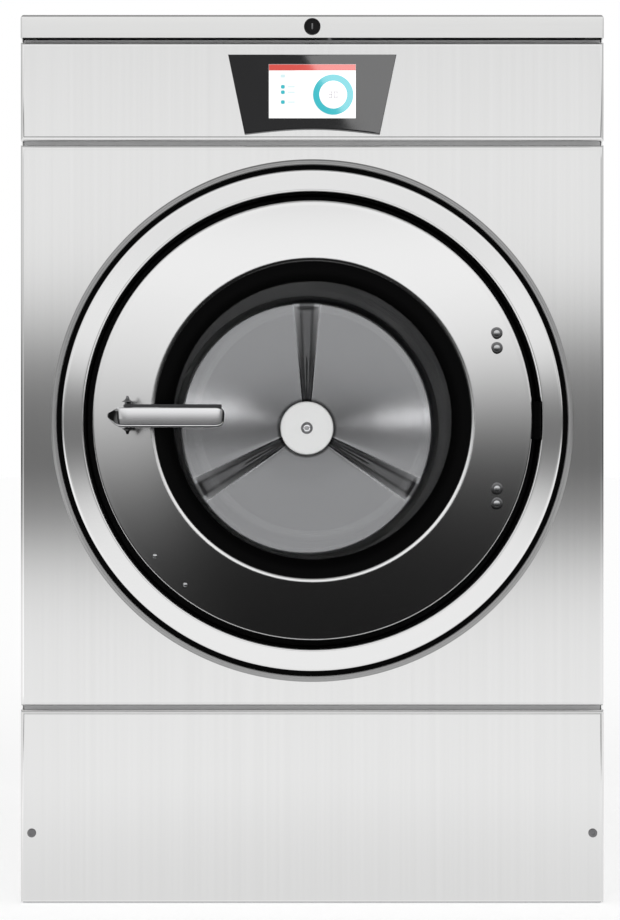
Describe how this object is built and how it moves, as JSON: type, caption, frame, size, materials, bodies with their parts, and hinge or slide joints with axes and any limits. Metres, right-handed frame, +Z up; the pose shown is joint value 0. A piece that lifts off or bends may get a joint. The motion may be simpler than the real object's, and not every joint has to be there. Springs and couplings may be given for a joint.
{
  "type": "washing machine",
  "caption": "Front-loading washing machine with a round glass door, lever latch, touch display, floating tub with drum drive, soap hopper and hinged top cover.",
  "frame": {"origin": "on the floor, below the centre of the machine's overall box", "axes": "+Z up, the door faces -Y, +X to the right of someone facing the door"},
  "size_m": [0.795, 0.951, 1.2193],
  "materials": {
    "stainless": "satin brushed",
    "polished_steel": "polished",
    "chrome": "polished",
    "galvanised": "satin",
    "frame_paint": "satin powder coat",
    "rubber_black": "matt",
    "clear_glass": "clear",
    "black_glass": "gloss",
    "screen": "lit",
    "circuit_green": "satin",
    "hopper_plastic": "satin",
    "hose_rubber": "matt",
    "valve_plastic": "satin",
    "black_plastic": "satin",
    "motor_paint": "satin",
    "cast_iron": "painted casting",
    "cast_aluminium": "cast",
    "bright_steel": "ground",
    "spring_steel": "satin",
    "cap_white": "satin",
    "drum_steel": "turned",
    "lock_black": "gloss"
  },
  "bodies": {
    "cabinet": {"base_frame": "frame_paint", "corner_posts": "galvanised", "cross_rails": "galvanised", "left_side_panel": "stainless", "right_side_panel": "stainless", "rear_panel": "galvanised", "rear_service_cover": "galvanised", "lower_front_panel": "stainless", "lower_panel_screws": "bright_steel", "front_panel": "stainless", "door_collar": "polished_steel", "collar_seal": "rubber_black", "control_fascia": "stainless", "display_housing": "black_glass", "display_screen": "screen", "control_board": "circuit_green", "soap_hopper": "hopper_plastic", "water_valves": "valve_plastic", "hopper_hoses": "hose_rubber", "drain_valve": "black_plastic", "inverter_box": "frame_paint", "terminal_box": "black_plastic", "damper_tubes": "frame_paint", "suspension_springs": "spring_steel", "drain_bellows": "rubber_black", "fill_bellows": "rubber_black"},
    "cover": {"top_cover": "stainless"},
    "lock": {"key_lock": "lock_black"},
    "lid": {"soap_lid": "stainless"},
    "tub": {"outer_tub": "bright_steel", "tub_front_plate": "bright_steel", "tub_cradle": "frame_paint", "bearing_housing": "cast_iron", "front_bearing": "bright_steel", "rear_bearing": "bright_steel", "shaft_seal": "rubber_black", "tub_door_seal": "rubber_black", "hinge_bracket": "frame_paint", "hinge_pin": "bright_steel", "door_lock_box": "black_plastic", "motor": "motor_paint", "drive_belt": "rubber_black", "damper_rods": "bright_steel"},
    "drum": {"drum_shell": "drum_steel", "drum_back": "drum_steel", "drum_lifters": "drum_steel", "drum_shaft": "cast_iron", "hub_cap": "cap_white", "drum_pulley": "cast_iron"},
    "rotor": {"motor_pulley": "cast_iron"},
    "door": {"door_ring": "polished_steel", "door_frame": "cast_aluminium", "glass_gasket": "rubber_black", "door_glass": "clear_glass", "door_hinge_plate": "frame_paint", "hinge_bolts": "bright_steel", "door_rivets": "bright_steel", "handle_bracket": "chrome"},
    "handle": {"door_handle": "chrome", "latch_tongue": "bright_steel"}
  },
  "joints": [
    {"name": "tub_float", "type": "slide", "parent": "cabinet", "child": "tub", "axis": [0, 0, 1], "range_m": [-0.008, 0.008], "stiffness_N_per_m": 200000, "springref_m": 0.0094, "deforming": ["suspension_springs", "drain_bellows", "fill_bellows"]},
    {"name": "drum_spin", "type": "hinge", "parent": "tub", "child": "drum", "pos_m": [0, 0, 0.6595], "axis": [0, 1, 0], "continuous": true},
    {"name": "motor_spin", "type": "hinge", "parent": "tub", "child": "rotor", "pos_m": [0.13, 0, 0.204], "axis": [0, 1, 0], "continuous": true},
    {"name": "door_swing", "type": "hinge", "parent": "tub", "child": "door", "pos_m": [0.3025, -0.4225, 0.6595], "axis": [0, 0, 1], "range_deg": [0, 150]},
    {"name": "handle_pull", "type": "hinge", "parent": "door", "child": "handle", "pos_m": [-0.2465, -0.4645, 0.6655], "axis": [0, 0, -1], "range_deg": [0, 20], "stiffness_Nm_per_rad": 5},
    {"name": "cover_lift", "type": "hinge", "parent": "cabinet", "child": "cover", "pos_m": [0, 0.4205, 1.2], "axis": [-1, 0, 0], "range_deg": [0, 55]},
    {"name": "lock_turn", "type": "hinge", "parent": "cover", "child": "lock", "pos_m": [0, -0.4045, 1.196], "axis": [0, -1, 0], "range_deg": [0, 90]},
    {"name": "lid_lift", "type": "hinge", "parent": "cover", "child": "lid", "pos_m": [-0.255, -0.0065, 1.2163], "axis": [-1, 0, 0], "range_deg": [0, 100]}
  ],
  "couplings": [
    {"joint": "motor_spin", "follows": "drum_spin", "ratio": 5.1429}
  ]
}
